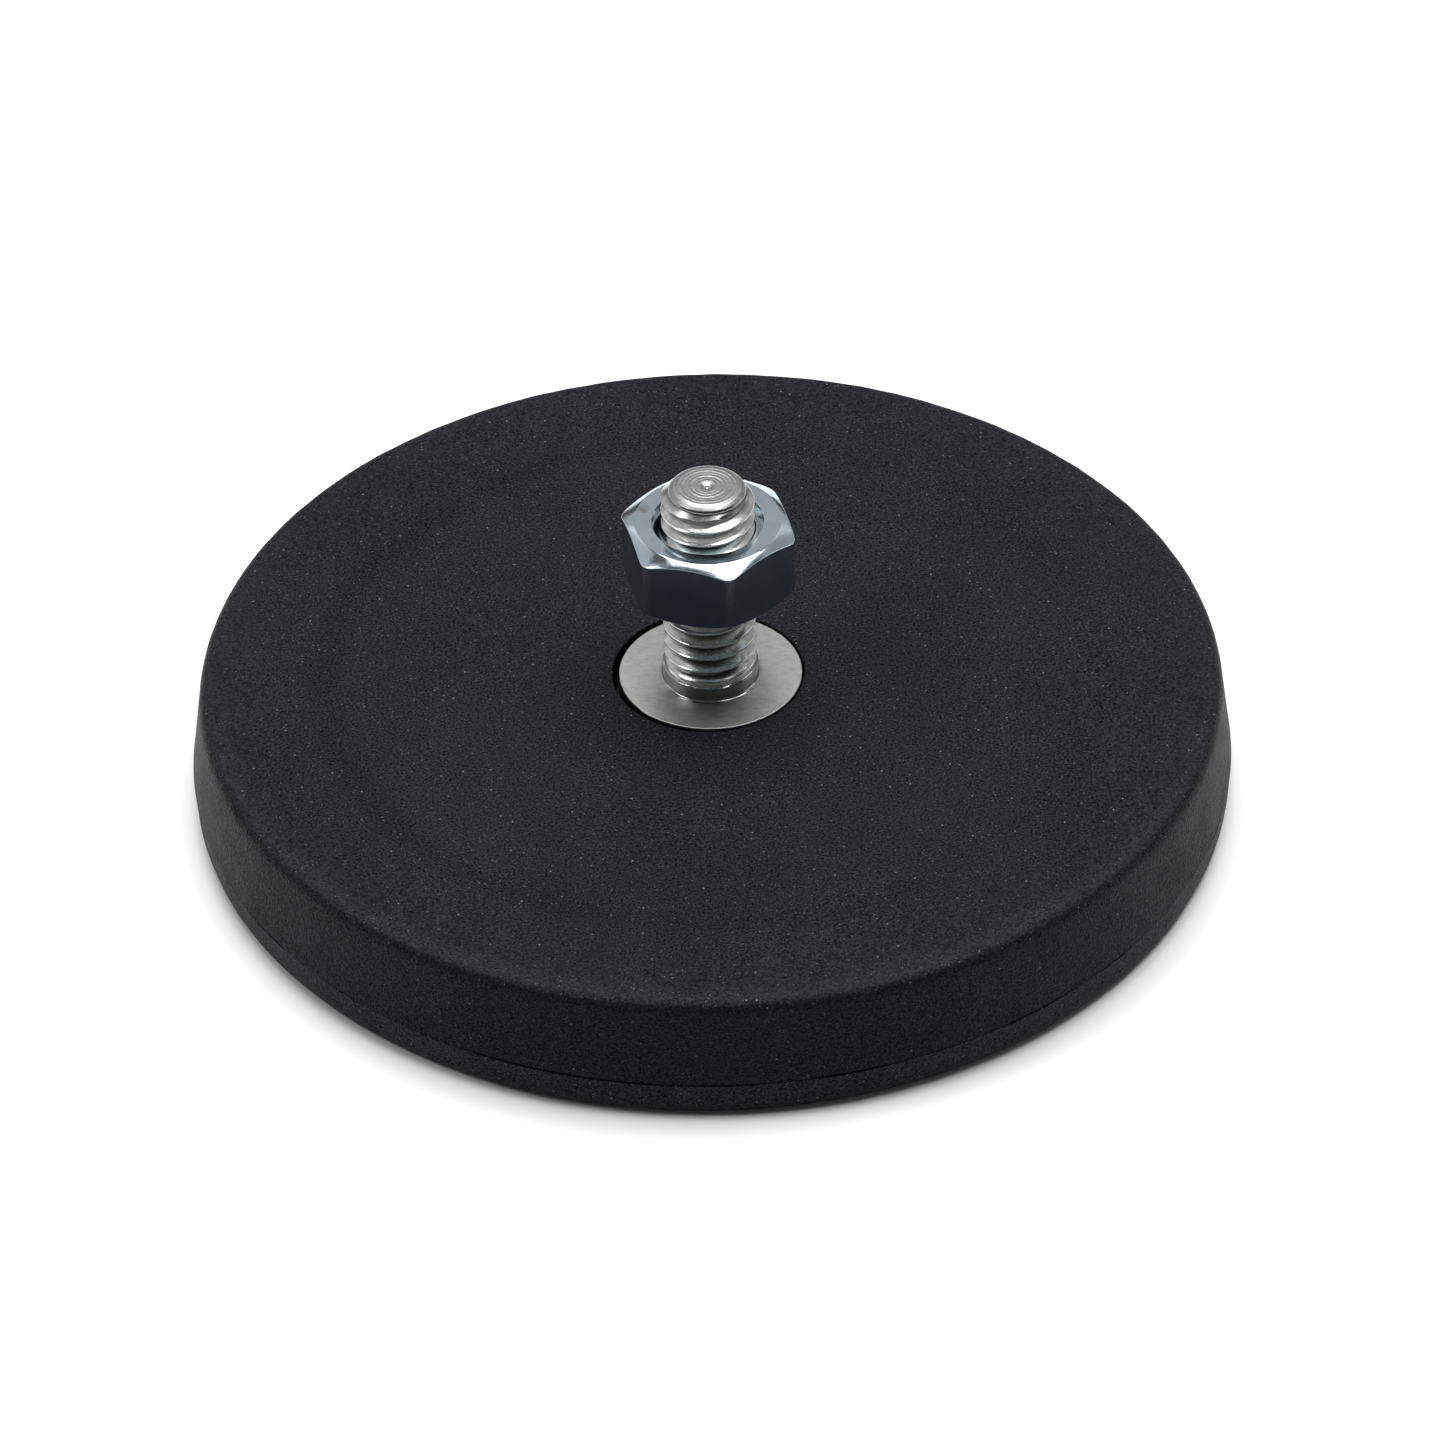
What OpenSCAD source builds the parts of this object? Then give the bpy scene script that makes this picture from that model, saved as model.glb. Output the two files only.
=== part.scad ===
// Rubber-coated pot magnet with an M6 stud and a hex nut.
// Millimetres, +Z up along the stud, origin at the centre of the magnet's working face.

/* [Rubber body] */
// Widest diameter of the rubber, at the parting line
body_d = 66.5; // [65:0.5:72]
// Height of the rubber from the working face to its flat top
body_h = 8.5; // [8:0.1:10]
// Height of the parting line between pad and cover
seam_z = 2.65; // [2.2:0.05:2.9]
// How much smaller the side wall is in radius at the top than at the parting line
wall_draft = 0.6; // [0.2:0.1:1.2]
// Radius of the rounded top edge
top_round = 0.6; // [0.3:0.1:1]
// Radius of the rounded foot
foot_round = 1.1; // [0.6:0.1:1.6]
// Diameter of the window round the stud's flange
window_d = 12.2; // [12:0.1:13]

/* [Magnets and yoke plate] */
// Rubber left under the magnets
floor_t = 1.0; // [0.8:0.1:1.2]
// Diameter of one magnet
magnet_d = 10; // [8:0.5:10]
// Thickness of one magnet
magnet_t = 3.0; // [3:0.1:3.4]
// Thickness of the steel yoke plate
plate_t = 2.0; // [1.5:0.1:2.2]
// Rubber wall between the yoke plate's rim and the outside
plate_cover = 3.25; // [2.5:0.25:3.25]

/* [Stud] */
// Thread diameter over the crests, M6
thread_d = 5.9; // [5.8:0.01:5.97]
// Height of the stud's tip above the working face
stud_top = 23.5; // [20:0.5:32]
// Diameter of the flange that a bracket sits on
flange_d = 11.7; // [11:0.1:11.8]
// How far the flange stands above the rubber
flange_proud = 0.1; // [0:0.05:0.3]
// Diameter of the plain shank between flange and thread
shank_d = 6.1; // [6:0.05:6.3]
// Length of the plain shank
shank_h = 1.0; // [0.8:0.1:2]

/* [Nut] */
// Width across the flats
nut_af = 10; // [9.8:0.1:10]
// Height of the nut
nut_h = 4.9; // [4.7:0.1:5.2]
// Height of the nut's underside above the working face
nut_z = 15.8; // [11.5:0.1:18]
// Turn of the nut about the stud
nut_turn = -16.3; // [-30:0.1:30]

/* [Hidden] */
$fn = 96;
eps = 0.01;

// rubber body
body_r = body_d / 2;
wall_top_r = body_r - wall_draft;
pad_r = body_r - 0.08;
seam_bevel = 0.12;

// magnets and yoke plate
plate_r = body_r - plate_cover;
plate_z = floor_t + magnet_t;
plate_top = plate_z + plate_t;
outer_count = 12;
inner_count = 6;
outer_ring_r = plate_r - magnet_d / 2 - 1.4;
inner_ring_r = outer_ring_r - magnet_d - 2;
magnet_edge = 0.2;

// stud
pitch = 1;
thread_r = thread_d / 2;
core_r = thread_r - 0.5635 * pitch;
buried_r = core_r - 0.13;
flange_top = body_h + flange_proud;
flange_edge = 0.15;
shank_r = shank_d / 2;
shank_top = flange_top + shank_h;
shank_fillet = 0.25;
tip_r = 2.2;
dimple_r = 0.4;
dimple_depth = 0.25;
neck_r = 3.5;
rivet_r = 4.3;
rivet_h = 0.8;

// thread ridge
steps_per_turn = 24;
crest_half = pitch / 16;
ridge_start = shank_top + 0.05;
ridge_end = stud_top - (core_r - 0.05 - tip_r);
ridge_rows = floor((ridge_end - ridge_start) / pitch * steps_per_turn);

// nut
nut_bore_r = thread_r + 0.07;
nut_sink_r = 3.55;
nut_face_r = 4.58;
nut_corner_r = nut_af / 2 / cos(30);
nut_chamfer = (nut_corner_r - nut_face_r) * tan(30);

rubber_colour = [0.13, 0.13, 0.14];
pad_colour = [0.10, 0.10, 0.11];
galvanised = [0.66, 0.67, 0.66];
nickel = [0.78, 0.77, 0.74];
bright_steel = [0.72, 0.70, 0.64];
blue_zinc = [0.52, 0.57, 0.64];

// Centres of the magnets: the outer ring first, then the inner ring.
magnet_spots = concat(
    [for (i = [0 : outer_count - 1]) [outer_ring_r, 360 * i / outer_count]],
    [for (i = [0 : inner_count - 1]) [inner_ring_r, 360 * (i + 0.5) / inner_count]]
);

function two_digits(n) = n < 10 ? str("0", n) : str(n);
function magnet_name(i) = str("magnet_", two_digits(i + 1));

MAGNET_NODES = [for (i = [0 : len(magnet_spots) - 1]) magnet_name(i)];

rubber_cover();
rubber_base_pad();
yoke_plate();
threaded_stud();
hex_nut();
for (i = [0 : len(magnet_spots) - 1])
    magnet(i);

// Space that every magnet takes up in the rubber, between two heights.
module magnet_pockets(z0, z1) {
    for (spot = magnet_spots)
        rotate([0, 0, spot[1]])
            translate([spot[0], 0, z0])
                cylinder(r = magnet_d / 2, h = z1 - z0);
}

// Half section of the cover: drafted wall with a rounded top edge.
module cover_section() {
    slope = atan(wall_draft / (body_h - seam_z));
    arc_x = wall_top_r - top_round;
    arc_z = body_h - top_round;
    difference() {
        union() {
            polygon([
                [0, seam_z],
                [body_r - seam_bevel, seam_z],
                [body_r, seam_z + seam_bevel],
                [arc_x + top_round * cos(slope), arc_z + top_round * sin(slope)],
                [arc_x, body_h],
                [0, body_h]
            ]);
            translate([arc_x, arc_z])
                circle(r = top_round);
        }
        // window round the flange
        translate([-eps, plate_top - eps])
            square([window_d / 2 + eps, body_h - plate_top + 1]);
        // seat of the yoke plate
        translate([-eps, plate_z])
            square([plate_r + eps, plate_t]);
        // room for the riveted end of the stud
        translate([-eps, plate_z - rivet_h])
            square([rivet_r + eps, rivet_h + eps]);
        // keeps the section on one side of the axis
        translate([-2, 0])
            square([2, body_h + 1]);
    }
}

// Rubber moulded over the top and the wall, down to the parting line.
module rubber_cover() {
    color(rubber_colour)
        difference() {
            rotate_extrude()
                cover_section();
            magnet_pockets(seam_z - 1, plate_z + eps);
        }
}

// Half section of the pad: flat working face with a rounded foot.
module pad_section() {
    arc_x = pad_r - foot_round;
    union() {
        polygon([
            [0, 0],
            [arc_x, 0],
            [pad_r, foot_round],
            [pad_r, seam_z - seam_bevel],
            [pad_r - seam_bevel, seam_z],
            [0, seam_z]
        ]);
        intersection() {
            translate([arc_x, foot_round])
                circle(r = foot_round);
            square([body_r + 1, seam_z - seam_bevel]);
        }
    }
}

// Rubber under and between the magnets, with a blind pocket for each.
module rubber_base_pad() {
    color(pad_colour)
        difference() {
            rotate_extrude()
                pad_section();
            magnet_pockets(floor_t, seam_z + 1);
        }
}

// Round steel plate that closes the magnetic circuit and carries the stud.
module yoke_plate() {
    color(galvanised)
        translate([0, 0, plate_z])
            difference() {
                cylinder(r = plate_r, h = plate_t);
                translate([0, 0, -1])
                    cylinder(r = neck_r, h = plate_t + 2);
            }
}

// One disc magnet with lightly bevelled edges.
module magnet(i) {
    spot = magnet_spots[i];
    r = magnet_d / 2;
    color(nickel)
        rotate([0, 0, spot[1]])
            translate([spot[0], 0, floor_t])
                rotate_extrude()
                    polygon([
                        [0, 0],
                        [r - magnet_edge, 0],
                        [r, magnet_edge],
                        [r, magnet_t - magnet_edge],
                        [r - magnet_edge, magnet_t],
                        [0, magnet_t]
                    ]);
}

// Radius of the ridge's crest at height z: it grows out of the core over one turn
// and follows the 45 degree chamfer at the tip.
function crest_r(z) = min(
    thread_r,
    buried_r + 0.1 + (thread_r - buried_r) * (z - ridge_start) / pitch,
    tip_r + stud_top - z
);

// The four corners of the ridge's cross-section at height z, from foot to head.
function ridge_row(z, turn) = let(
        r = crest_r(z),
        foot_half = crest_half + (r - buried_r) * tan(30)
    ) [
        [buried_r * cos(turn), buried_r * sin(turn), z - foot_half],
        [r * cos(turn), r * sin(turn), z - crest_half],
        [r * cos(turn), r * sin(turn), z + crest_half],
        [buried_r * cos(turn), buried_r * sin(turn), z + foot_half]
    ];

// The raised ridge of a right-hand metric thread, its foot buried in the core.
module thread_ridge() {
    points = [
        for (i = [0 : ridge_rows])
            for (p = ridge_row(ridge_start + i * pitch / steps_per_turn, 360 * i / steps_per_turn)) p
    ];
    last = 4 * ridge_rows;
    sides = [
        for (i = [0 : ridge_rows - 1])
            for (j = [0 : 3])
                let(a = 4 * i + j, b = 4 * i + (j + 1) % 4)
                    each [[a, b, a + 4], [b, b + 4, a + 4]]
    ];
    ends = [
        [0, 2, 1], [0, 3, 2],
        [last, last + 1, last + 2], [last, last + 2, last + 3]
    ];
    polyhedron(points = points, faces = concat(sides, ends), convexity = 20);
}

// Half section of the stud without its thread: rivet, neck, flange, shank, core and tip.
module stud_section() {
    flange_r = flange_d / 2;
    core_top = stud_top - (core_r - tip_r);
    difference() {
        polygon([
            [0, plate_z - rivet_h],
            [rivet_r - 0.5, plate_z - rivet_h],
            [rivet_r, plate_z - 0.3],
            [rivet_r, plate_z],
            [neck_r, plate_z],
            [neck_r, plate_top],
            [flange_r, plate_top],
            [flange_r, flange_top - flange_edge],
            [flange_r - flange_edge, flange_top],
            [shank_r + shank_fillet, flange_top],
            [shank_r, flange_top + shank_fillet],
            [shank_r, shank_top - 0.1],
            [shank_r - 0.25, shank_top],
            [core_r, shank_top],
            [core_r, core_top],
            [tip_r, stud_top],
            [dimple_r, stud_top],
            [0, stud_top - dimple_depth]
        ]);
        translate([shank_r + shank_fillet, flange_top + shank_fillet])
            circle(r = shank_fillet);
    }
}

// Flanged stud, riveted through the yoke plate.
module threaded_stud() {
    color(bright_steel) {
        rotate_extrude()
            stud_section();
        thread_ridge();
    }
}

// Hex nut with both faces chamfered to a round bearing face and countersunk.
module hex_nut() {
    color(blue_zinc)
        translate([0, 0, nut_z])
            rotate([0, 0, nut_turn])
                difference() {
                    intersection() {
                        cylinder(r = nut_corner_r, h = nut_h, $fn = 6);
                        rotate_extrude()
                            polygon([
                                [0, 0],
                                [nut_face_r, 0],
                                [nut_corner_r, nut_chamfer],
                                [nut_corner_r + 1, nut_chamfer + tan(30)],
                                [nut_corner_r + 1, nut_h - nut_chamfer - tan(30)],
                                [nut_corner_r, nut_h - nut_chamfer],
                                [nut_face_r, nut_h],
                                [0, nut_h]
                            ]);
                    }
                    rotate_extrude()
                        polygon([
                            [0, -1],
                            [nut_sink_r + 1, -1],
                            [nut_bore_r, nut_sink_r - nut_bore_r],
                            [nut_bore_r, nut_h - (nut_sink_r - nut_bore_r)],
                            [nut_sink_r + 1, nut_h + 1],
                            [0, nut_h + 1]
                        ]);
                }
}
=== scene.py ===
"""Looks for the rubber-coated stud magnet.

Detailed rubber mouldings, a rolled M6 stud and a zinc nut replace the plain CAD solids. The
yoke plate and the magnets inside keep theirs. Lengths are in millimetres until a mesh or a
material needs metres.
"""

import math

import bmesh
import bpy
import numpy as np
from mathutils import Matrix, Vector

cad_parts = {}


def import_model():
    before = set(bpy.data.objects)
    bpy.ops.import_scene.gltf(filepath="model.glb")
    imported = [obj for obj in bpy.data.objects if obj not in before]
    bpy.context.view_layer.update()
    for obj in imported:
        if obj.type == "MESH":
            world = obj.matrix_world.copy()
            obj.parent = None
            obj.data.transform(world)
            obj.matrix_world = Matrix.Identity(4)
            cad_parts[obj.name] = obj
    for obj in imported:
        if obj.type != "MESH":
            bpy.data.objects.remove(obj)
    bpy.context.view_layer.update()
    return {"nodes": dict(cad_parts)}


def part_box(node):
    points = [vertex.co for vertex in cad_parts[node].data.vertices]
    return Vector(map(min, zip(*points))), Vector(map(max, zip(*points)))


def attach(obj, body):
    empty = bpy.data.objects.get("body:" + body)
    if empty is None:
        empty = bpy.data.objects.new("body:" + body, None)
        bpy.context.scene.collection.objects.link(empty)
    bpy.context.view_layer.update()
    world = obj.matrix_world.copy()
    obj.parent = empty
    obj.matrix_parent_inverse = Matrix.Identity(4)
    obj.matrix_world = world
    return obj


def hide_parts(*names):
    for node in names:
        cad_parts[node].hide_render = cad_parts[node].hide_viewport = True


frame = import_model()

MM = 0.001
TURN = 2 * math.pi


def node_box(name):
    """Lowest and highest corner of a CAD node, in millimetres."""
    low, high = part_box(name)
    return np.array(low) / MM, np.array(high) / MM


_, cover_high = node_box("rubber_cover")
_, pad_high = node_box("rubber_base_pad")
plate_low, plate_high = node_box("yoke_plate")
stud_low, stud_high = node_box("threaded_stud")
nut_low, nut_high = node_box("hex_nut")
magnet_low, _ = node_box("magnet_01")

BODY_R = cover_high[0]
BODY_TOP = cover_high[2]
SEAM_Z = pad_high[2]
PLATE_R = plate_high[0]
PLATE_BOTTOM, PLATE_TOP = plate_low[2], plate_high[2]
MAGNET_BOTTOM = magnet_low[2]
TIP_INSIDE_CAD = 0.1
RIVET_BOTTOM, STUD_TOP = stud_low[2], stud_high[2] - TIP_INSIDE_CAD
FLANGE_R = stud_high[0]
NUT_BOTTOM, NUT_TOP = nut_low[2], nut_high[2]

# stud
FLANGE_TOP = BODY_TOP + 0.1
SHANK_R = 3.05
SHANK_TOP = FLANGE_TOP + 1.0
NECK_R = 3.5
RIVET_R = 4.3
THREAD_R = 2.95
ROOT_R = 2.40
PITCH = 1.0
TIP_R = 1.80
SHOULDER_R = 2.46
SHOULDER_DROP = 0.48
SHOULDER_FOOT_R = SHOULDER_R - 0.10

# rubber
WINDOW_R = 6.1
GROOVE_R = 24.4
GROOVE_DEPTH = 0.045
GROOVE_HALF = 0.75

# nut
NUT_TURN = math.radians(-16.3)
CORNER_R = 5.62


# ---------------------------------------------------------------- mesh tools


WELD = 2e-4
NO_LENGTH = 1e-5


def finish_mesh(name, mesh, materials, sharp_deg):
    """Cleans a new mesh, shades it smooth with sharp edges over sharp_deg, and makes its object."""
    bm = bmesh.new()
    bm.from_mesh(mesh)
    bmesh.ops.remove_doubles(bm, verts=bm.verts, dist=WELD * MM)
    bmesh.ops.dissolve_degenerate(bm, edges=bm.edges, dist=NO_LENGTH * MM)
    bmesh.ops.recalc_face_normals(bm, faces=bm.faces)
    bm.to_mesh(mesh)
    bm.free()
    mesh.polygons.foreach_set("use_smooth", [True] * len(mesh.polygons))
    mesh.set_sharp_from_angle(angle=math.radians(sharp_deg))
    obj = bpy.data.objects.new(name, mesh)
    bpy.context.scene.collection.objects.link(obj)
    for m in materials:
        obj.data.materials.append(m)
    return obj


def mesh_from(name, points_mm, faces, face_slots=None):
    mesh = bpy.data.meshes.new(name)
    mesh.from_pydata([tuple(p * MM) for p in points_mm], [], faces)
    if face_slots is not None:
        mesh.polygons.foreach_set("material_index", face_slots)
    return mesh


def rounded(points, steps=5):
    """A polyline of (r, z, radius) corners with each corner replaced by an arc of that radius."""
    out = []
    n = len(points)
    for i, (r, z, radius) in enumerate(points):
        here = np.array([r, z], float)
        if radius <= 0 or i in (0, n - 1):
            out.append(here)
            continue
        before = np.array(points[i - 1][:2], float)
        after = np.array(points[i + 1][:2], float)
        a, b = before - here, after - here
        la, lb = np.linalg.norm(a), np.linalg.norm(b)
        a, b = a / la, b / lb
        half = math.acos(max(-1.0, min(1.0, float(a @ b)))) / 2
        cut = min(radius / math.tan(half), 0.49 * la, 0.49 * lb)
        p, q = here + a * cut, here + b * cut
        for k in range(steps + 1):
            t = k / steps
            out.append((1 - t) ** 2 * p + 2 * t * (1 - t) * here + t * t * q)
    return out


def divided(points, counts):
    """The same polyline with each of its stretches divided into the given number of equal parts."""
    out = [points[0]]
    for a, b, count in zip(points, points[1:], counts):
        out += [a + (b - a) * k / count for k in range(1, count + 1)]
    return out


def lathe(section, steps, closed=False, shape=None, longest=None):
    """Points and faces of a turned piece.

    section(turn) gives the half section as (r, z) at that turn. A closed section makes a ring,
    and an open one starts and ends on the axis. Stretches over longest are divided. shape moves
    the array of points.
    """
    columns = [section(TURN * j / steps) for j in range(steps)]
    if longest:
        first = columns[0]
        lengths = [np.linalg.norm(b - a) for a, b in zip(first, first[1:])]
        counts = [max(1, math.ceil(length / longest)) for length in lengths]
        columns = [divided(c, counts) for c in columns]
    columns = [np.array(c) for c in columns]
    rows = len(columns[0])
    turns = np.arange(steps) * TURN / steps
    r = np.array([c[:, 0] for c in columns])
    z = np.array([c[:, 1] for c in columns])
    x = r * np.cos(turns)[:, None]
    y = r * np.sin(turns)[:, None]
    points = np.stack([x, y, z], axis=2)
    if shape is not None:
        points = shape(points, r, turns[:, None] * np.ones_like(r))
    points = points.reshape(-1, 3)
    faces = []
    last = rows if closed else rows - 1
    for j in range(steps):
        k = (j + 1) % steps
        for i in range(last):
            n = (i + 1) % rows
            faces.append((j * rows + i, k * rows + i, k * rows + n, j * rows + n))
    return points, faces


def wave(turn, seeds):
    """A smooth uneven wave round the turn, about -1 to 1, from a few whole-number frequencies."""
    total = 0
    for number, phase in seeds:
        total = total + np.sin(number * turn + phase)
    return total / len(seeds)


def soft_least(a, b, softness):
    """The smaller of two numbers, with a rounded change from one to the other."""
    return -softness * math.log(math.exp(-a / softness) + math.exp(-b / softness))


def smooth_step(low, high, value):
    t = np.clip((value - low) / (high - low), 0, 1)
    return t * t * (3 - 2 * t)


# ---------------------------------------------------------------- materials


class Nodes:
    """Short names for building a material's node tree."""

    def __init__(self, name):
        self.material = bpy.data.materials.new(name)
        self.material.use_nodes = True
        self.tree = self.material.node_tree
        self.tree.nodes.clear()
        self.out = self.add("ShaderNodeOutputMaterial")
        self.shader = self.add("ShaderNodeBsdfPrincipled")
        self.link(self.shader.outputs[0], self.out.inputs["Surface"])
        coords = self.add("ShaderNodeTexCoord")
        self.place = coords.outputs["Object"]

    def add(self, kind, **settings):
        node = self.tree.nodes.new(kind)
        for key, value in settings.items():
            setattr(node, key, value)
        return node

    def link(self, a, b):
        self.tree.links.new(a, b)

    def put(self, socket, value):
        if isinstance(value, bpy.types.NodeSocket):
            self.link(value, socket)
        else:
            socket.default_value = value

    def set(self, **values):
        for key, value in values.items():
            self.put(self.shader.inputs[key.replace("_", " ")], value)

    def noise(self, per_mm, detail=3.0, rough=0.55, stretch=None):
        node = self.add("ShaderNodeTexNoise")
        node.inputs["Scale"].default_value = per_mm / MM
        node.inputs["Detail"].default_value = detail
        node.inputs["Roughness"].default_value = rough
        self.link(self.stretched(stretch), node.inputs["Vector"])
        return node.outputs["Fac"]

    def stretched(self, stretch):
        if stretch is None:
            return self.place
        node = self.add("ShaderNodeMapping")
        node.inputs["Scale"].default_value = stretch
        self.link(self.place, node.inputs["Vector"])
        return node.outputs["Vector"]

    def cells(self, per_mm, output="Distance"):
        node = self.add("ShaderNodeTexVoronoi")
        node.inputs["Scale"].default_value = per_mm / MM
        self.link(self.place, node.inputs["Vector"])
        return node.outputs[output]

    def math(self, operation, a, b=0.0, clamp=False):
        node = self.add("ShaderNodeMath", operation=operation, use_clamp=clamp)
        self.put(node.inputs[0], a)
        self.put(node.inputs[1], b)
        return node.outputs[0]

    def times(self, a, b):
        return self.math("MULTIPLY", a, b)

    def spread(self, noise, out_low=0.0, out_high=1.0):
        """The usual middle part of a noise, stretched over the given range."""
        return self.ramp(noise, 0.3, 0.7, out_low, out_high)

    def ramp(self, value, low, high, out_low=0.0, out_high=1.0):
        node = self.add("ShaderNodeMapRange", clamp=True)
        self.put(node.inputs["Value"], value)
        node.inputs["From Min"].default_value = low
        node.inputs["From Max"].default_value = high
        node.inputs["To Min"].default_value = out_low
        node.inputs["To Max"].default_value = out_high
        return node.outputs["Result"]

    def mix(self, share, a, b):
        node = self.add("ShaderNodeMix", data_type="RGBA")
        self.put(node.inputs[0], share)
        self.put(node.inputs[6], (*a, 1) if isinstance(a, tuple) else a)
        self.put(node.inputs[7], (*b, 1) if isinstance(b, tuple) else b)
        return node.outputs[2]

    def separate(self, vector=None):
        node = self.add("ShaderNodeSeparateXYZ")
        self.link(vector or self.place, node.inputs[0])
        return node.outputs

    def axis_distance(self):
        """Distance from the stud's axis, in metres."""
        x, y, _ = self.separate()
        squares = self.math("ADD", self.times(x, x), self.times(y, y))
        return self.math("SQRT", squares)

    def bump(self, height, depth_mm, strength=1.0, below=None):
        node = self.add("ShaderNodeBump")
        node.inputs["Strength"].default_value = strength
        node.inputs["Distance"].default_value = depth_mm * MM
        self.link(height, node.inputs["Height"])
        if below is not None:
            self.link(below, node.inputs["Normal"])
        return node.outputs["Normal"]


GRAIN_LOW, GRAIN_HIGH = 0.34, 0.66
DUST = (0.20, 0.20, 0.205)
BLUER = (0.90, 1.02, 0.97)
BLUER_PLACE = (9 * MM, -11 * MM, BODY_TOP * MM)


def rubber_grain(n, grain, rim_band):
    """Albedo factor of the grain, with less contrast towards the rim, where the light grazes it."""
    if not rim_band:
        return n.ramp(grain, GRAIN_LOW, GRAIN_HIGH, 0.05, 2.1)
    outwards = n.ramp(n.axis_distance(), (BODY_R - 7) * MM, (BODY_R - 2) * MM, 1.0, 0.55)
    contrast = n.ramp(grain, GRAIN_LOW, GRAIN_HIGH, -1.0, 1.05)
    return n.math("ADD", n.times(contrast, outwards), 1.05)


def rubber_rim(n):
    """Albedo factors: painted shade along the ring over the insert, darkest on the left; the top
    with a painted highlight on its rim band, strongest at the front, and painted shade on the
    walls; the top alone, with the same wall shade.
    """
    radius = n.axis_distance()
    x, y, z = n.separate()
    ragged = n.math("ADD", radius, n.times(n.noise(0.35, 3.0, 0.55), 1.6 * MM))
    band = n.ramp(ragged, (BODY_R - 1.9) * MM, (BODY_R - 0.7) * MM)
    band = n.times(band, n.ramp(radius, (BODY_R - 0.95) * MM, (BODY_R - 1.5) * MM))
    # painted highlight: the rim band is lightened from 0.12 at the back to 0.62 at the front, where
    # light catches the rounded edge
    painted_rim_highlight = n.times(band, n.ramp(y, 5 * MM, -20 * MM, 0.12, 0.62))
    # painted shade along the ring over the insert: down to 0.80 on the left and 0.93 on the right,
    # none away from the ring
    from_ring = n.math("ABSOLUTE", n.math("SUBTRACT", ragged, (GROOVE_R + 1.1) * MM))
    off_ring = n.ramp(from_ring, 0.3 * MM, 1.3 * MM)
    ring = n.ramp(x, 8 * MM, -16 * MM, 0.93, 0.80)
    ring = n.math("ADD", ring, n.times(off_ring, n.math("SUBTRACT", 1.0, ring)))
    # painted shade: the walls below the top edge keep 0.45 of the top's albedo; the same factor
    # keeps the dust specks on the top
    height = n.ramp(z, (BODY_TOP - 0.40) * MM, (BODY_TOP - 0.14) * MM, 0.45, 1.0)
    return ring, n.math("ADD", height, painted_rim_highlight), height


def dust_specks(n):
    """Share of dust: a speck is the middle of a cell that is one of the few chosen."""
    near = n.ramp(n.cells(1.6), 0.10, 0.06)
    few = n.ramp(n.separate(n.cells(1.6, "Color"))[0], 0.74, 0.78)
    fine_near = n.ramp(n.cells(3.6), 0.22, 0.12)
    fine_few = n.ramp(n.separate(n.cells(3.6, "Color"))[1], 0.66, 0.90)
    fine = n.times(n.times(fine_near, fine_few), 0.45)
    return n.math("ADD", n.times(near, few), fine, True)


def rubber(name, tone, rim_band):
    """Moulded black rubber: spark-eroded grain, dust specks, faint smears; on the cover a painted
    highlight on the rim band and painted shade on the walls and along the ring over the insert.
    """
    n = Nodes(name)
    smears = n.noise(0.25, 4.0, 0.6, stretch=(1.0, 0.35, 1.0))
    grain = n.noise(6.6, 2.0, 0.75)
    shade = n.spread(n.noise(0.09, 2.0), 0.92, 1.08)
    shade = n.times(shade, n.ramp(smears, 0.35, 0.75, 0.95, 1.12))
    shade = n.times(shade, rubber_grain(n, grain, rim_band))
    specks = dust_specks(n)
    # on the cover: painted shade along the ring and on the walls, and a painted highlight on the
    # rim band
    if rim_band:
        ring, rim, height = rubber_rim(n)
        shade = n.times(n.times(shade, ring), rim)
        specks = n.times(specks, height)
    bluer = tuple(c * k for c, k in zip(tone, BLUER))
    middle = n.add("ShaderNodeVectorMath", operation="DISTANCE")
    n.link(n.place, middle.inputs[0])
    middle.inputs[1].default_value = BLUER_PLACE
    away = n.math("ADD", middle.outputs["Value"], n.times(n.noise(0.08, 2.0), 16 * MM))
    base = n.mix(shade, (0.0, 0.0, 0.0), n.mix(n.ramp(away, 18 * MM, 30 * MM), bluer, tone))
    base.node.clamp_factor = False
    colour = n.mix(specks, base, DUST)
    coarse = n.bump(n.noise(2.6, 2.0, 0.5), 0.06, 0.8)
    fine = n.bump(n.noise(7.5, 2.0, 0.6), 0.10, 1.0, coarse)
    n.set(Base_Color=colour, Roughness=n.spread(n.noise(0.4, 3.0), 0.43, 0.53), Normal=fine)
    n.set(Specular_IOR_Level=n.ramp(grain, GRAIN_LOW, GRAIN_HIGH, 0.12, 0.88))
    n.set(Metallic=0.0, IOR=1.18, Specular_Tint=(0.94, 0.93, 1.0, 1))
    return n.material


TOOL_MARK = 0.17
TIP_TOOL_MARK = 0.26


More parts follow.
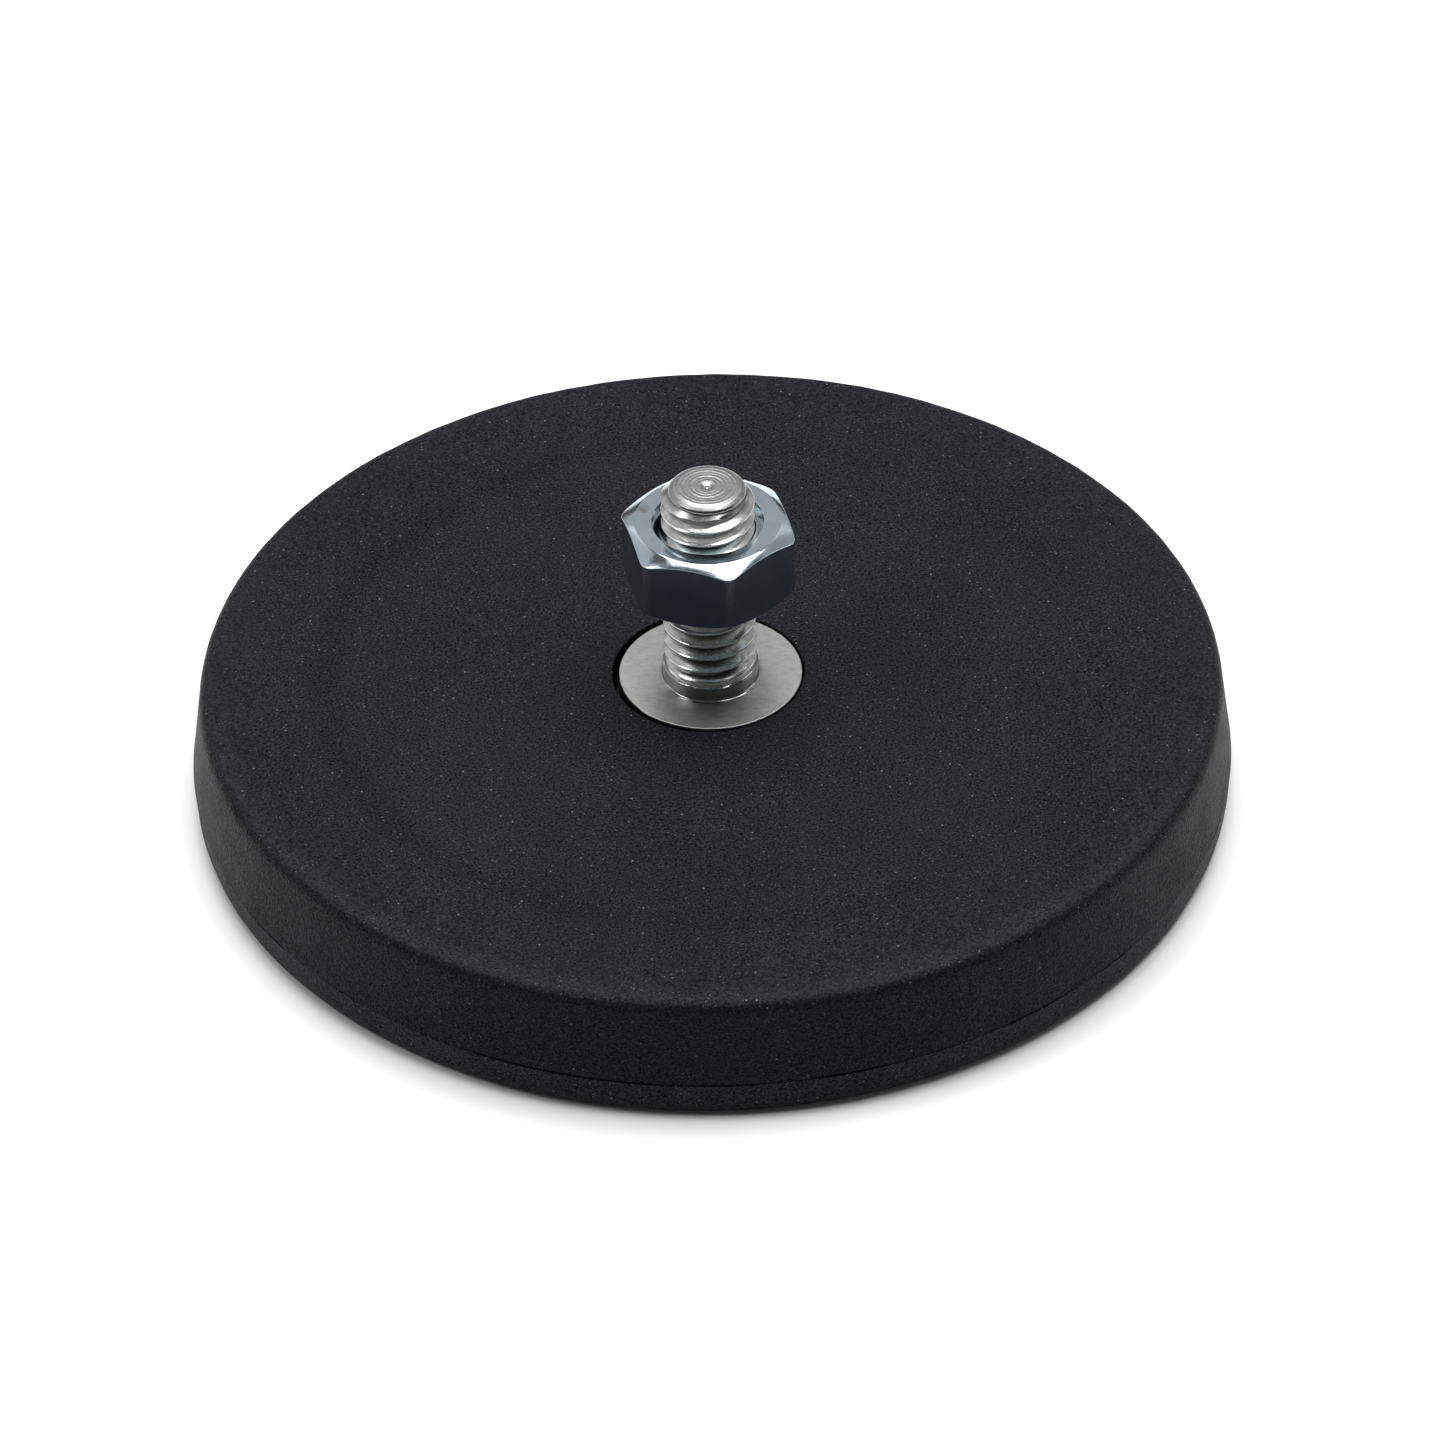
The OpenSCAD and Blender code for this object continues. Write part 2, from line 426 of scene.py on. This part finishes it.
def rolled_thread():
    """Bright zinc on a rolled thread, with scuffed flanks, painted shade in the roots, and polished
    crests whose near-white colour is a painted highlight.
    """
    n = Nodes("rolled_thread_zinc")
    radius = n.axis_distance()
    out_of_root = n.ramp(radius, (ROOT_R + 0.03) * MM, (ROOT_R + 0.3) * MM)
    crest = n.ramp(radius, (THREAD_R - 0.06) * MM, (THREAD_R - 0.015) * MM)
    mottle = n.ramp(n.noise(2.8, 4.0, 0.65), 0.34, 0.66)
    flank = n.mix(mottle, (0.46, 0.465, 0.45), (0.62, 0.625, 0.61))
    # painted shade: the roots are darkened to 0.24, well below the flanks
    colour = n.mix(out_of_root, (0.24, 0.24, 0.23), flank)
    # painted highlight: the crests get a near-white colour to draw thin bright lines; their lower
    # roughness below is the real polish
    colour = n.mix(crest, colour, (0.92, 0.925, 0.92))
    scuffs = n.noise(6.0, 3.0, 0.65, stretch=(1.0, 1.0, 4.0))
    rough = n.ramp(scuffs, 0.3, 0.75, 0.17, 0.28)
    rough = n.math("SUBTRACT", rough, n.times(crest, 0.08))
    bump = n.bump(scuffs, 0.003, 0.5)
    n.set(Base_Color=colour, Metallic=1.0, Roughness=rough, Normal=bump)
    return n.material


def turned_steel():
    """Zinc on the flange and shank: satin and finely mottled, polished towards the shank, the
    flange's side wall painted near black as shade.
    """
    n = Nodes("turned_zinc")
    radius = n.axis_distance()
    outward = n.ramp(radius, (SHANK_R + 0.05) * MM, (SHANK_R + 0.35) * MM)
    mottle = n.ramp(n.noise(1.3, 4.0, 0.65), 0.3, 0.72)
    fine = n.ramp(n.noise(3.2, 5.0, 0.75, stretch=(0.6, 1.6, 1.0)), 0.34, 0.66)
    colour = n.mix(mottle, (0.27, 0.28, 0.265), (0.34, 0.345, 0.33))
    colour = n.mix(n.times(fine, 0.45), colour, (0.52, 0.525, 0.51))
    # painted shade: below the flange's top edge its side wall, seen in the gap inside the window,
    # is made near black
    painted_side_shade = n.ramp(n.separate()[2], (FLANGE_TOP - 0.10) * MM, (FLANGE_TOP - 0.16) * MM)
    colour = n.mix(n.times(painted_side_shade, outward), colour, (0.05, 0.05, 0.05))
    wobble = n.times(n.noise(1.5, 2.0), 0.12 * MM)
    rings = n.math("SINE", n.times(n.math("ADD", radius, wobble), TURN / (TOOL_MARK * MM)))
    satin = n.ramp(n.noise(2.5, 3.0, 0.6), 0.3, 0.72, 0.30, 0.35)
    rough = n.math("ADD", n.times(outward, satin), 0.11)
    bump = n.bump(rings, 0.0014, 0.6)
    bump = n.bump(n.noise(5.0, 2.0, 0.6), 0.002, 0.5, bump)
    n.set(Base_Color=colour, Metallic=1.0, Roughness=rough, Normal=bump)
    return n.material


def tip_steel():
    """The parted-off tip: concentric tool marks on a satin face."""
    n = Nodes("tip_zinc")
    radius = n.axis_distance()
    rings = n.math("SINE", n.times(radius, TURN / (TIP_TOOL_MARK * MM)))
    mottle = n.spread(n.noise(3.0, 3.0))
    colour = n.mix(mottle, (0.26, 0.267, 0.267), (0.34, 0.347, 0.347))
    bump = n.bump(rings, 0.008, 0.7)
    bump = n.bump(n.noise(7.0, 3.0, 0.6), 0.005, 0.6, bump)
    rough = n.spread(n.noise(5.0, 3.0), 0.30, 0.40)
    n.set(Base_Color=colour, Metallic=1.0, Roughness=rough, Normal=bump)
    return n.material


STAIN_PLACE = (-4.15 * MM, 1.25 * MM, NUT_TOP * MM)


def blue_zinc():
    """Glossy blue-passivated zinc with soft clouding and one brownish stain on the nut's top."""
    n = Nodes("blue_zinc")
    cloud = n.spread(n.noise(0.55, 3.0))
    colour = n.mix(cloud, (0.45, 0.53, 0.60), (0.55, 0.64, 0.71))
    spot = n.add("ShaderNodeVectorMath", operation="DISTANCE")
    n.link(n.place, spot.inputs[0])
    spot.inputs[1].default_value = STAIN_PLACE
    blotch = n.math("ADD", spot.outputs["Value"], n.times(n.noise(2.5, 3.0), 0.9 * MM))
    stain = n.ramp(blotch, 0.95 * MM, 0.55 * MM, 0.0, 0.75)
    colour = n.mix(stain, colour, (0.33, 0.27, 0.21))
    corner = n.ramp(n.axis_distance(), (CORNER_R - 0.07) * MM, (CORNER_R - 0.01) * MM)
    worn = n.times(corner, n.ramp(n.noise(4.5, 3.0, 0.7), 0.42, 0.62))
    colour = n.mix(n.times(worn, 0.35), colour, (0.78, 0.80, 0.82))
    rough = n.ramp(n.noise(4.0, 4.0, 0.65), 0.3, 0.75, 0.10, 0.18)
    rough = n.math("ADD", rough, n.times(corner, 0.05))
    bump = n.bump(n.noise(1.1, 3.0), 0.02, 0.35)
    bump = n.bump(n.noise(7.0, 3.0, 0.6), 0.004, 0.6, bump)
    n.set(Base_Color=colour, Metallic=1.0, Roughness=rough, Normal=bump)
    return n.material


def galvanised():
    """Zinc-plated sheet with a faint spangle, and a near-black, non-metal ring under the window,
    painted as the shade in the gap round the flange.
    """
    n = Nodes("galvanised_plate")
    spangle = n.ramp(n.separate(n.cells(0.35, "Color"))[0], 0.0, 1.0)
    colour = n.mix(spangle, (0.42, 0.43, 0.43), (0.56, 0.57, 0.57))
    # painted shade: a near-black, non-metal ring on the plate under the window, where the gap round
    # the flange lies in shade
    painted_gap_shade = n.ramp(n.axis_distance(), (WINDOW_R + 0.6) * MM, (WINDOW_R + 0.4) * MM)
    colour = n.mix(painted_gap_shade, colour, (0.012, 0.012, 0.013))
    rough = n.spread(n.noise(1.5, 3.0), 0.3, 0.48)
    bump = n.bump(n.noise(2.0, 4.0), 0.01, 0.5)
    n.set(Base_Color=colour, Metallic=n.math("SUBTRACT", 1.0, painted_gap_shade))
    n.set(Roughness=rough, Normal=bump)
    return n.material


def nickel():
    """Bright nickel plating with tumbling marks."""
    n = Nodes("nickel_plate")
    cloud = n.spread(n.noise(0.8, 3.0))
    colour = n.mix(cloud, (0.58, 0.55, 0.49), (0.68, 0.65, 0.59))
    rough = n.spread(n.noise(5.0, 3.0), 0.14, 0.28)
    bump = n.bump(n.noise(2.5, 4.0), 0.008, 0.5)
    n.set(Base_Color=colour, Metallic=1.0, Roughness=rough, Normal=bump)
    return n.material


COVER_RUBBER = rubber("cover_rubber", (0.0094, 0.0089, 0.0118), True)
PAD_RUBBER = rubber("pad_rubber", (0.0080, 0.0078, 0.0098), False)
THREAD_ZINC = rolled_thread()
TURNED_ZINC = turned_steel()
TIP_ZINC = tip_steel()
BLUE_ZINC = blue_zinc()
GALVANISED = galvanised()
NICKEL = nickel()


# ---------------------------------------------------------------- rubber


POCKET_CORNERS = 48
RUBBER_SHARP = 38


def cut_magnet_pockets(obj, z0, z1):
    """Cuts a pocket for every magnet between two heights, at the CAD magnets' own places."""
    points, faces = [], []
    corners = POCKET_CORNERS
    for name in sorted(frame["nodes"]):
        if not name.startswith("magnet_"):
            continue
        low, high = node_box(name)
        centre = (low + high) / 2
        radius = (high[0] - low[0]) / 2
        base = len(points)
        for z in (z0, z1):
            for k in range(corners):
                turn = TURN * k / corners
                x = centre[0] + radius * math.cos(turn)
                y = centre[1] + radius * math.sin(turn)
                points.append(np.array([x, y, z]))
        faces.append(tuple(base + k for k in reversed(range(corners))))
        faces.append(tuple(base + corners + k for k in range(corners)))
        for k in range(corners):
            n = (k + 1) % corners
            faces.append((base + k, base + n, base + corners + n, base + corners + k))
    cutter = bpy.data.objects.new("pocket_cutter", mesh_from("pocket_cutter", points, faces))
    bpy.context.scene.collection.objects.link(cutter)
    modifier = obj.modifiers.new("pockets", "BOOLEAN")
    modifier.operation = "DIFFERENCE"
    modifier.object = cutter
    modifier.solver = "EXACT"
    depsgraph = bpy.context.evaluated_depsgraph_get()
    cut = bpy.data.meshes.new_from_object(obj.evaluated_get(depsgraph))
    obj.modifiers.clear()
    old = obj.data
    obj.data = cut
    bpy.data.meshes.remove(old)
    bpy.data.objects.remove(cutter)
    cut.polygons.foreach_set("use_smooth", [True] * len(cut.polygons))
    cut.set_sharp_from_angle(angle=math.radians(RUBBER_SHARP))


WINDOW_SHIFT = np.array([-0.15, 0.18])
SEAM_R = BODY_R - 0.01
SEAM_CRACK_LEAST, SEAM_CRACK_MORE = 0.06, 0.13
TOP_EDGE_R = BODY_R - 0.74
TOP_EDGE_ROUND = 1.05
TOP_LOWERED = 0.022
TOP_SAG = 0.05
SAG_FROM_R, SAG_TO_R = 24.0, 31.5
SIDE_UNEVEN = 0.018
FOOT_ROUND = 1.25
FOOT_DRAFT = 0.16
# (waves round the turn, phase) of each part of an uneven wave
SEAM_WAVES = ((3, 0.4), (7, 2.1), (11, 4.0), (19, 1.0), (31, 5.2))
EDGE_WAVES = ((2, 1.0), (5, 3.3), (9, 0.2), (17, 2.6))
LUMP_WAVES = ((31, 0.7), (47, 2.9), (61, 4.4), (83, 1.3), (101, 5.5))


def seam_gap(turn):
    """How far the parting line stands open at this turn: a hairline here, a crack there."""
    opened = float(smooth_step(-0.3, 0.3, wave(turn, SEAM_WAVES)))
    return SEAM_CRACK_LEAST + SEAM_CRACK_MORE * opened


def cover_shape(points, r, turn):
    """Uneven top: shallow ring over the insert, soft swells, a window a little off centre."""
    x, y, z = points[..., 0], points[..., 1], points[..., 2]
    on_top = smooth_step(BODY_TOP - 0.9, BODY_TOP - 0.1, z)
    on_top = on_top * smooth_step(BODY_R - 0.9, BODY_R - 1.6, r)
    ring = np.exp(-(((r - GROOVE_R) / GROOVE_HALF) ** 2)) * (0.6 + 0.4 * wave(turn, EDGE_WAVES))
    swell = 0.012 * np.sin(0.21 * x + 0.13 * y + 0.6)
    swell = swell + 0.010 * np.sin(-0.12 * x + 0.27 * y + 2.0) - TOP_LOWERED
    sag = -TOP_SAG * smooth_step(SAG_FROM_R, SAG_TO_R, r)
    dz = on_top * (-GROOVE_DEPTH * ring + swell + sag)
    near_window = smooth_step(WINDOW_R + 3.4, WINDOW_R + 0.5, r) * (r > WINDOW_R - 0.2)
    near_window = near_window * smooth_step(PLATE_TOP - 0.2, PLATE_TOP, z)
    points[..., 0] = x + WINDOW_SHIFT[0] * near_window
    points[..., 1] = y + WINDOW_SHIFT[1] * near_window
    points[..., 2] = z + dz
    side = smooth_step(BODY_R - 2.5, BODY_R - 0.8, r) * smooth_step(SEAM_Z, SEAM_Z + 0.6, z)
    push = 1 + side * SIDE_UNEVEN * (wave(turn, EDGE_WAVES) - 1) / BODY_R
    points[..., 0] *= push
    points[..., 1] *= push
    return points


def cover_section(turn):
    """Half section of the cover: outside, window, and the recess over plate and rivet."""
    gap = seam_gap(turn)
    edge_round = TOP_EDGE_ROUND + 0.12 * float(wave(turn, EDGE_WAVES))
    edge_round += 0.07 * float(wave(turn, LUMP_WAVES))
    return rounded(
        [
            (0, SEAM_Z, 0),
            (SEAM_R - gap, SEAM_Z + 0.01, 0),
            (SEAM_R, SEAM_Z + 0.4 * gap + 0.02, 0.03),
            (TOP_EDGE_R, BODY_TOP, edge_round),
            (WINDOW_R, BODY_TOP, 0.15),
            (WINDOW_R, PLATE_TOP, 0),
            (PLATE_R, PLATE_TOP, 0),
            (PLATE_R, PLATE_BOTTOM, 0),
            (RIVET_R, PLATE_BOTTOM, 0),
            (RIVET_R, RIVET_BOTTOM, 0),
            (0, RIVET_BOTTOM, 0),
        ],
        steps=8,
    )


def pad_section(turn):
    """Half section of the pad: rounded foot, side wall, and the parting line's lower lip."""
    gap = seam_gap(turn)
    side_r = SEAM_R - 0.03 * (1 - float(wave(turn, SEAM_WAVES)))
    return rounded(
        [
            (0, 0, 0),
            (side_r - FOOT_DRAFT, 0, FOOT_ROUND),
            (side_r, SEAM_Z - 0.3 * gap - 0.02, 0.06),
            (side_r - gap, SEAM_Z - 0.01, 0),
            (0, SEAM_Z, 0),
        ],
        steps=8,
    )


OUTER_RING, OUTER_RING_R = 12, 23.5
INNER_RING, INNER_RING_R = 6, 11.6
FACE_LIFT = 0.012
SINK_DEPTH = 0.035


def pad_shape(points, r, turn):
    """The working face: faint sinks over the two rings of magnets, inside a level rim."""
    z = points[..., 2]
    face = smooth_step(0.3, 0.0, z) * smooth_step(BODY_R - 1.5, BODY_R - 4.0, r)
    outer = np.exp(-(((r - OUTER_RING_R) / 2.6) ** 2)) * (0.5 + 0.5 * np.cos(OUTER_RING * turn))
    inner = np.exp(-(((r - INNER_RING_R) / 2.4) ** 2)) * (0.5 - 0.5 * np.cos(INNER_RING * turn))
    sinks = outer + inner
    points[..., 2] = z + face * (FACE_LIFT + SINK_DEPTH * sinks)
    return points


TURN_STEPS = 480
COVER_STRETCH, PAD_STRETCH = 0.75, 0.9


def moulding(name, section, shape, longest, material):
    points, faces = lathe(section, TURN_STEPS, shape=shape, longest=longest)
    return finish_mesh(name, mesh_from(name, points, faces), [material], RUBBER_SHARP)


cover = moulding("rubber_cover_moulding", cover_section, cover_shape, COVER_STRETCH, COVER_RUBBER)
pad = moulding("rubber_pad_moulding", pad_section, pad_shape, PAD_STRETCH, PAD_RUBBER)
cut_magnet_pockets(cover, SEAM_Z - 0.5, PLATE_BOTTOM + 0.3)
cut_magnet_pockets(pad, MAGNET_BOTTOM, SEAM_Z + 0.5)


# ---------------------------------------------------------------- stud

STUD_STEPS = 144
STUD_SHARP = 40
CREST_HALF = 0.05
FLANK_END = 0.385
CREST_SOFT = 0.025
TIP_TAPER = 1.4
# shares of a pitch from the crest's middle, close together where the slope changes
HALF_PHASES = (0.025, 0.045, 0.06, 0.08, 0.11, 0.17, 0.24, 0.31, 0.35, 0.385, 0.43)
PHASES = (-0.5,) + tuple(-p for p in reversed(HALF_PHASES)) + (0.0,) + HALF_PHASES


def thread_radius(z, phase):
    """Radius of the rolled thread where phase is the share of a pitch from the crest's middle."""
    ridge = float(np.clip((FLANK_END - abs(phase)) / (FLANK_END - CREST_HALF), 0, 1.2))
    # the division brings the softened crest back to its full height
    rounded_ridge = soft_least(ridge, 1.0, CREST_SOFT) / (1 - 0.69 * CREST_SOFT)
    ridge = min(max(0.0, rounded_ridge), 1.0)
    groove_in = float(smooth_step(SHANK_TOP - 0.05, SHANK_TOP + 0.75, z))
    r = THREAD_R - (1 - ridge) * (THREAD_R - ROOT_R) * groove_in
    return min(r, SHOULDER_FOOT_R + (STUD_TOP - SHOULDER_DROP - z) * TIP_TAPER)


def thread_rows():
    """Points and faces of the thread. Rows follow the helix, but stop at either end's rim."""
    start, end = SHANK_TOP, STUD_TOP - SHOULDER_DROP
    turns = int(math.ceil((end - start) / PITCH)) + 2
    heights = [start - PITCH + PITCH * (t + p + 0.5) for t in range(turns + 1) for p in PHASES]
    phases = [p for _ in range(turns + 1) for p in PHASES]
    rows = len(heights)
    points, faces = [], []
    for j in range(STUD_STEPS):
        turn = TURN * j / STUD_STEPS
        for h, phase in zip(heights, phases):
            z = h + PITCH * j / STUD_STEPS
            if z <= start:
                r, z = thread_radius(start, 0.0), start
            elif z >= end:
                r, z = thread_radius(end, 0.0), end
            else:
                r = thread_radius(z, phase)
            points.append(np.array([r * math.cos(turn), r * math.sin(turn), z]))
    for j in range(STUD_STEPS):
        wrap = j == STUD_STEPS - 1
        shift = len(PHASES) if wrap else 0
        k = 0 if wrap else j + 1
        for i in range(rows - 1):
            a, b = min(i + shift, rows - 1), min(i + 1 + shift, rows - 1)
            face = [j * rows + i, k * rows + a, k * rows + b, j * rows + i + 1]
            faces.append(tuple(dict.fromkeys(face)))
    return points, faces


BURR_TURN = math.radians(226)
BURR_DROP = 0.05
CHIP_DEPTH = 0.018
RIVET_DOME = 0.5
RIVET_WALL = 0.3


def stud_foot(turn):
    """Half section below the thread: rivet, neck, flange, shank."""
    burr = BURR_DROP * math.exp(-(((turn - BURR_TURN) / 0.10) ** 2))
    chips = CHIP_DEPTH * (float(wave(turn, LUMP_WAVES)) - 1)
    return rounded(
        [
            (0, RIVET_BOTTOM, 0),
            (RIVET_R - RIVET_DOME, RIVET_BOTTOM, 0.15),
            (RIVET_R, PLATE_BOTTOM - RIVET_WALL, 0.1),
            (RIVET_R, PLATE_BOTTOM, 0),
            (NECK_R, PLATE_BOTTOM, 0),
            (NECK_R, PLATE_TOP, 0),
            (FLANGE_R, PLATE_TOP, 0),
            (FLANGE_R + chips, FLANGE_TOP - burr, 0.07 + burr),
            (SHANK_R, FLANGE_TOP - 0.01, 0.17),
            (SHANK_R, SHANK_TOP - 0.06, 0.05),
            (THREAD_R, SHANK_TOP, 0),
        ],
        steps=4,
    )


SHOULDER_ROWS = 9
THREAD_ZINC_ROWS = 4
TIP_FLAT_Z = STUD_TOP - 0.004
TIP_RINGS = (1.55, 1.33, 1.11, 0.9, 0.7)
TIP_RING_DEPTH = 0.012


def stud_tip(turn):
    """Half section of the tip: the rounded shoulder, the face with its rings, the centre pip."""
    undercut = [
        np.array([SHOULDER_FOOT_R, STUD_TOP - SHOULDER_DROP]),
        np.array([SHOULDER_R - 0.02, STUD_TOP - SHOULDER_DROP + 0.03]),
    ]
    wide, high = SHOULDER_R - TIP_R, SHOULDER_DROP - 0.08
    arc = [math.pi / 2 * k / (SHOULDER_ROWS - 2) for k in range(SHOULDER_ROWS - 1)]
    shoulder = [
        np.array([TIP_R + wide * math.cos(a), STUD_TOP - high + high * math.sin(a)]) for a in arc
    ]
    ring_marks = [(r, STUD_TOP - TIP_RING_DEPTH * (k % 2), 0.05) for k, r in enumerate(TIP_RINGS)]
    pip = [
        (0.42, TIP_FLAT_Z, 0.04),
        (0.28, STUD_TOP - 0.10, 0.05),
        (0.12, STUD_TOP - 0.12, 0.04),
        (0, STUD_TOP - 0.06, 0),
    ]
    face = rounded([(TIP_R - 0.1, TIP_FLAT_Z, 0)] + ring_marks + pip, steps=3)
    return undercut + shoulder + face


thread_points, thread_faces = thread_rows()
foot_points, foot_faces = lathe(stud_foot, STUD_STEPS)
tip_points, tip_faces = lathe(stud_tip, STUD_STEPS)
stud_points = list(thread_points) + list(foot_points) + list(tip_points)
shift_foot = len(thread_points)
shift_tip = shift_foot + len(foot_points)
stud_faces = list(thread_faces)
stud_faces += [tuple(i + shift_foot for i in f) for f in foot_faces]
stud_faces += [tuple(i + shift_tip for i in f) for f in tip_faces]
tip_rows = len(tip_faces) // STUD_STEPS
stud_slots = [0] * len(thread_faces) + [1] * len(foot_faces)
stud_slots += [0 if i % tip_rows < THREAD_ZINC_ROWS else 2 for i in range(len(tip_faces))]
stud = finish_mesh(
    "stud_with_rolled_thread",
    mesh_from("stud_with_rolled_thread", stud_points, stud_faces, stud_slots),
    [THREAD_ZINC, TURNED_ZINC, TIP_ZINC],
    STUD_SHARP,
)


# ---------------------------------------------------------------- nut

NUT_STEPS = 360
NUT_SHARP = 24
HALF_FLATS = 5.0
FACE_R = 4.58
SINK_R = 3.55
BORE_R = 3.03
BORE_GROOVE = 0.38
BORE_ROWS = 60
BORE_EASE_ROWS = 6
CHAMFER = math.tan(math.radians(30))
CORNER_SOFT = 0.06


def hex_radius(turn):
    """Distance from the axis to the nut's side: six flats whose corners are forged round."""
    part = (turn - NUT_TURN) % (TURN / 6)
    part = min(part, TURN / 6 - part)
    flat = HALF_FLATS / math.cos(TURN / 12 - part)
    return soft_least(flat, CORNER_R, CORNER_SOFT)


def bore_thread(z, turn):
    """The internal thread's groove, cut outwards from the bore."""
    phase = (z / PITCH - turn / TURN + 0.5) % 1.0
    return BORE_R + BORE_GROOVE * max(0.0, 1 - abs(phase - 0.5) / 0.42)


def nut_section(turn):
    """Closed section of the nut: the outside from below, then down the threaded bore."""
    side = hex_radius(turn)
    drop = (side - FACE_R) * CHAMFER
    sink = SINK_R - BORE_R
    outside = rounded(
        [
            (BORE_R + 0.02, NUT_BOTTOM + sink, 0),
            (SINK_R, NUT_BOTTOM, 0.05),
            (FACE_R, NUT_BOTTOM, 0.10),
            (side, NUT_BOTTOM + drop, 0.07),
            (side, NUT_TOP - drop, 0.07),
            (FACE_R, NUT_TOP, 0.35),
            (SINK_R, NUT_TOP, 0.05),
            (BORE_R + 0.02, NUT_TOP - sink, 0),
        ],
        steps=4,
    )
    bore = []
    top, bottom = NUT_TOP - sink - 0.03, NUT_BOTTOM + sink + 0.03
    for k in range(BORE_ROWS + 1):
        z = top + (bottom - top) * k / BORE_ROWS
        ease = min(1.0, k / BORE_EASE_ROWS, (BORE_ROWS - k) / BORE_EASE_ROWS)
        bore.append(np.array([BORE_R + (bore_thread(z, turn) - BORE_R) * ease, z]))
    return outside + bore


points, faces = lathe(nut_section, NUT_STEPS, closed=True)
nut_mesh = mesh_from("nut_blue_zinc", points, faces)
nut = finish_mesh("nut_blue_zinc", nut_mesh, [BLUE_ZINC], NUT_SHARP)


# ---------------------------------------------------------------- bodies and finishes

for piece, body, node, slot in (
    (cover, "magnet_body", "rubber_cover", "cover_rubber"),
    (pad, "magnet_body", "rubber_base_pad", "pad_rubber"),
    (stud, "magnet_body", "threaded_stud", "bright_steel"),
    (nut, "nut", "hex_nut", "blue_zinc"),
):
    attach(piece, body)
    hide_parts(node)

for name, obj in frame["nodes"].items():
    if name == "yoke_plate":
        finish = GALVANISED
    elif name.startswith("magnet_"):
        finish = NICKEL
    else:
        continue
    obj.data.materials.clear()
    obj.data.materials.append(finish)


# ---------------------------------------------------------------- studio


FLOOR_HALF = 1500.0
LIGHT_TARGET = (0, 0, 0.008)
# name: (place in metres, size in metres, watts)
LIGHTS = {
    "top_softbox": ((0.06, 0.15, 0.85), (0.78, 0.62), 11.0),
    "left_key": ((-0.62, -0.10, 0.68), (0.3, 0.3), 1.7),
    "back_card": ((0.0, 1.00, 0.62), (1.8, 0.9), 2.4),
    "left_back_card": ((-0.85, 0.50, 0.60), (0.9, 0.9), 1.5),
    "right_back_card": ((0.85, 0.50, 0.60), (0.9, 0.9), 0.9),
    "left_card": ((-0.80, 0.05, 0.14), (0.5, 0.25), 0.42),
    "right_card": ((0.80, 0.05, 0.14), (0.5, 0.25), 0.6),
}


def floor():
    n = Nodes("pale_floor")
    tone = n.spread(n.noise(0.02, 2.0))
    n.set(Base_Color=n.mix(tone, (0.92, 0.92, 0.92), (0.94, 0.94, 0.94)), Roughness=0.9)
    n.set(Specular_IOR_Level=0.0)
    corners = ((-1, -1), (1, -1), (1, 1), (-1, 1))
    points = [np.array([x * FLOOR_HALF, y * FLOOR_HALF, 0.0]) for x, y in corners]
    obj = bpy.data.objects.new("floor", mesh_from("floor", points, [(0, 1, 2, 3)]))
    obj.data.materials.append(n.material)
    bpy.context.scene.collection.objects.link(obj)


def panel(name, place, size, watts):
    """A soft rectangular light that faces the magnet."""
    data = bpy.data.lights.new(name, "AREA")
    data.shape = "RECTANGLE"
    data.size, data.size_y = size
    data.energy = watts
    obj = bpy.data.objects.new(name, data)
    obj.location = place
    facing = Vector(LIGHT_TARGET) - Vector(place)
    obj.rotation_euler = facing.to_track_quat("-Z", "Y").to_euler()
    bpy.context.scene.collection.objects.link(obj)


def camera():
    """The camera: 38.8 degrees above the floor, a long lens, one degree of roll."""
    elevation = math.radians(38.79)
    roll = math.radians(-1.05)
    distance = 534.2 * MM
    aim_aside = -0.63 * MM
    aim_above = -3.44 * MM
    forward = Vector((0, math.cos(elevation), -math.sin(elevation)))
    right = Vector((1, 0, 0))
    up = Vector((0, math.sin(elevation), math.cos(elevation)))
    right_r = right * math.cos(roll) + up * math.sin(roll)
    up_r = up * math.cos(roll) - right * math.sin(roll)
    place = -(forward * distance + right_r * aim_aside + up_r * aim_above)
    turn = Matrix((right_r, up_r, -forward)).transposed().to_4x4()
    data = bpy.data.cameras.new("camera")
    data.sensor_width = 36.0
    data.lens = 206.9
    data.clip_start = 0.01
    data.clip_end = 10
    obj = bpy.data.objects.new("camera", data)
    obj.matrix_world = Matrix.Translation(place) @ turn
    bpy.context.scene.collection.objects.link(obj)
    bpy.context.scene.camera = obj


def world():
    w = bpy.data.worlds.new("studio")
    w.use_nodes = True
    background = w.node_tree.nodes["Background"]
    background.inputs["Color"].default_value = (0.98, 0.99, 1.0, 1)
    background.inputs["Strength"].default_value = 0.06
    bpy.context.scene.world = w


floor()
for name, light in LIGHTS.items():
    panel(name, *light)
camera()
world()
bpy.context.scene.view_settings.view_transform = "Standard"
